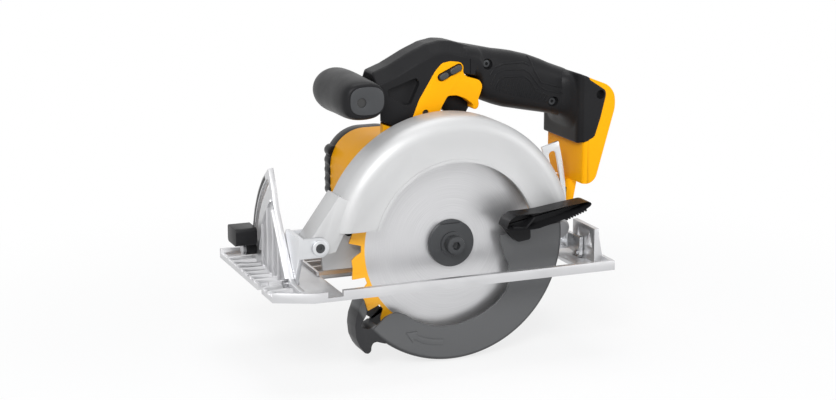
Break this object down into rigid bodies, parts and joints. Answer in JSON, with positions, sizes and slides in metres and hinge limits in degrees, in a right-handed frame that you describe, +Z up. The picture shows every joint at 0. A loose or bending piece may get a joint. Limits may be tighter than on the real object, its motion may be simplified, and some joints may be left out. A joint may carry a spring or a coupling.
{
  "type": "cordless circular saw",
  "caption": "Cordless circular saw with a fixed upper and a sprung lower blade guard, tilting shoe, depth bracket, motor and D-shaped rear handle with battery rails.",
  "frame": {"origin": "on the sole plane of the shoe, under the arbor, in the plane of the blade", "axes": "+X from the front of the shoe to its back, +Y from the blade side to the motor side, +Z up"},
  "size_m": [0.2958, 0.194, 0.244],
  "materials": {
    "shoe_casting": "satin cast aluminium, machined sole",
    "zinc_plate": "bright zinc plated pressed steel",
    "bolt_steel": "zinc plated steel",
    "guard_casting": "fine satin die casting",
    "gear_casting": "die casting",
    "guard_dark": "dark grey enamel on die casting",
    "blade_steel": "ground steel with a yellow painted rim",
    "gear_steel": "machined steel",
    "bearing_steel": "polished bearing rings",
    "spring_steel": "spring wire",
    "yellow_plastic": "moulded yellow nylon, satin",
    "black_plastic": "moulded black nylon",
    "grip_rubber": "soft black overmould",
    "lamination_steel": "stacked laminations with copper windings",
    "magnet_ferrite": "ferrite",
    "copper": "copper segments",
    "carbon": "carbon block",
    "brass_part": "pressed brass"
  },
  "bodies": {
    "shoe": {"shoe": "shoe_casting", "bevel_scale": "black_plastic", "bevel_pin_front": "bolt_steel", "bevel_pin_rear": "bolt_steel"},
    "carrier": {"front_bracket": "zinc_plate", "depth_pin": "zinc_plate", "depth_bracket": "zinc_plate", "bevel_clamp_bolt": "bolt_steel"},
    "saw_body": {"upper_guard": "guard_casting", "guard_bumper": "grip_rubber", "gear_case": "gear_casting", "gear_cover": "gear_casting", "spindle_bearing_front": "bearing_steel", "spindle_bearing_rear": "bearing_steel", "rotor_bearing_front": "bearing_steel", "rotor_bearing_rear": "bearing_steel", "guard_retainer": "spring_steel", "guard_spring": "spring_steel", "motor_housing": "yellow_plastic", "motor_end_cap": "black_plastic", "motor_can": "zinc_plate", "motor_magnets": "magnet_ferrite", "grip_left": "grip_rubber", "grip_right": "grip_rubber", "handle_shell_left": "yellow_plastic", "handle_shell_right": "yellow_plastic", "lower_arm": "yellow_plastic", "auxiliary_handle": "grip_rubber", "auxiliary_screw": "bolt_steel", "battery_boot": "yellow_plastic", "battery_terminal": "black_plastic", "switch_module": "black_plastic", "trigger_pin": "bolt_steel", "depth_bolt": "bolt_steel", "handle_screw_1": "bolt_steel", "handle_screw_2": "bolt_steel", "guard_screw_1": "bolt_steel", "guard_screw_2": "bolt_steel", "carbon_brush_1": "carbon", "carbon_brush_2": "carbon", "brush_holder_1": "brass_part", "brush_holder_2": "brass_part"},
    "blade_group": {"spindle": "gear_steel", "spindle_gear": "gear_steel", "inner_flange": "guard_dark", "blade": "blade_steel", "outer_flange": "guard_dark", "blade_screw": "guard_dark"},
    "rotor": {"rotor_shaft": "gear_steel", "armature": "lamination_steel", "commutator": "copper", "fan": "black_plastic"},
    "lower_guard": {"lower_guard": "guard_dark", "guard_lever": "black_plastic", "lever_screw": "bolt_steel"},
    "bevel_lever": {"bevel_lever": "black_plastic"},
    "depth_lever": {"depth_lever": "black_plastic"},
    "trigger": {"trigger": "black_plastic"},
    "lock_off_button": {"lock_off_button": "black_plastic"},
    "spindle_lock": {"spindle_lock": "black_plastic"}
  },
  "joints": [
    {"name": "bevel", "type": "hinge", "parent": "shoe", "child": "carrier", "pos_m": [0, 0, 0.006], "axis": [1, 0, 0], "range_deg": [0, 50]},
    {"name": "bevel_clamp", "type": "hinge", "parent": "carrier", "child": "bevel_lever", "pos_m": [-0.131, 0.08053, 0.01475], "axis": [1, 0, 0], "range_deg": [0, 40]},
    {"name": "depth", "type": "hinge", "parent": "carrier", "child": "saw_body", "pos_m": [-0.1106, 0, 0.0354], "axis": [0, -1, 0], "range_deg": [0, 16]},
    {"name": "depth_clamp", "type": "hinge", "parent": "saw_body", "child": "depth_lever", "pos_m": [0.10061, 0.0165, 0.02433], "axis": [0, -1, 0], "range_deg": [0, 28]},
    {"name": "blade_spin", "type": "hinge", "parent": "saw_body", "child": "blade_group", "pos_m": [0, 0, 0.0255], "axis": [0, 1, 0], "continuous": true},
    {"name": "rotor_spin", "type": "hinge", "parent": "saw_body", "child": "rotor", "pos_m": [-0.01, 0, 0.0495], "axis": [0, 1, 0], "continuous": true},
    {"name": "guard_swing", "type": "hinge", "parent": "saw_body", "child": "lower_guard", "pos_m": [0, 0, 0.0255], "axis": [0, -1, 0], "range_deg": [0, 115], "stiffness_Nm_per_rad": 0.08, "springref_deg": -20.05, "deforming": ["guard_spring"]},
    {"name": "trigger_pull", "type": "hinge", "parent": "saw_body", "child": "trigger", "pos_m": [0.008, 0.038, 0.141], "axis": [0, -1, 0], "range_deg": [0, 9], "stiffness_Nm_per_rad": 0.5, "springref_deg": -9.74},
    {"name": "lock_off_press", "type": "slide", "parent": "saw_body", "child": "lock_off_button", "axis": [0, 1, 0], "range_m": [0, 0.0025], "stiffness_N_per_m": 600, "springref_m": -0.002},
    {"name": "spindle_lock_press", "type": "slide", "parent": "saw_body", "child": "spindle_lock", "axis": [-1, 0, 0], "range_m": [0, 0.0025], "stiffness_N_per_m": 800, "springref_m": -0.002}
  ],
  "couplings": [
    {"joint": "rotor_spin", "follows": "blade_spin", "ratio": -4.7778}
  ]
}
